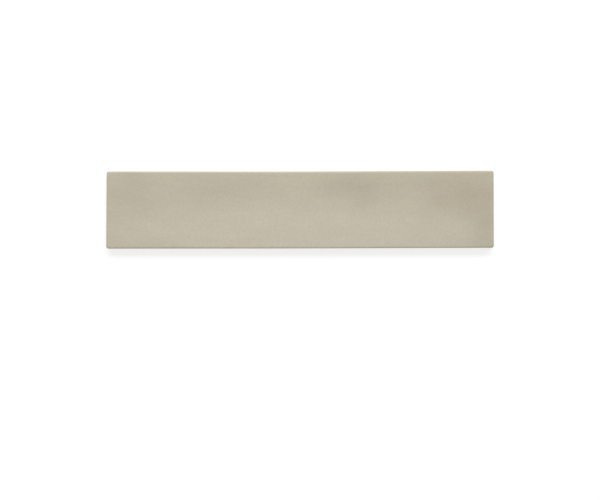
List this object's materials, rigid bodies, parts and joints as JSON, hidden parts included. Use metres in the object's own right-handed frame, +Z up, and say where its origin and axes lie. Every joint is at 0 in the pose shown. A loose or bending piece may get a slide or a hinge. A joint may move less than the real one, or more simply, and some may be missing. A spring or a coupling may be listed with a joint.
{
  "type": "floor tile",
  "caption": "Long brick-format glazed ceramic floor tile with a soft cushioned edge, drafted sides and a ribbed back that keys into tile adhesive.",
  "frame": {"origin": "under the middle of the tile, on the plane of the back ribs it lies on", "axes": "+X along the length, +Y across the width, +Z up out of the glazed face"},
  "size_m": [0.3, 0.06, 0.009],
  "materials": {
    "glaze": "satin greige glaze with soft tonal clouds over a pale fired body"
  },
  "bodies": {
    "root": {"tile": "glaze"}
  },
  "joints": []
}
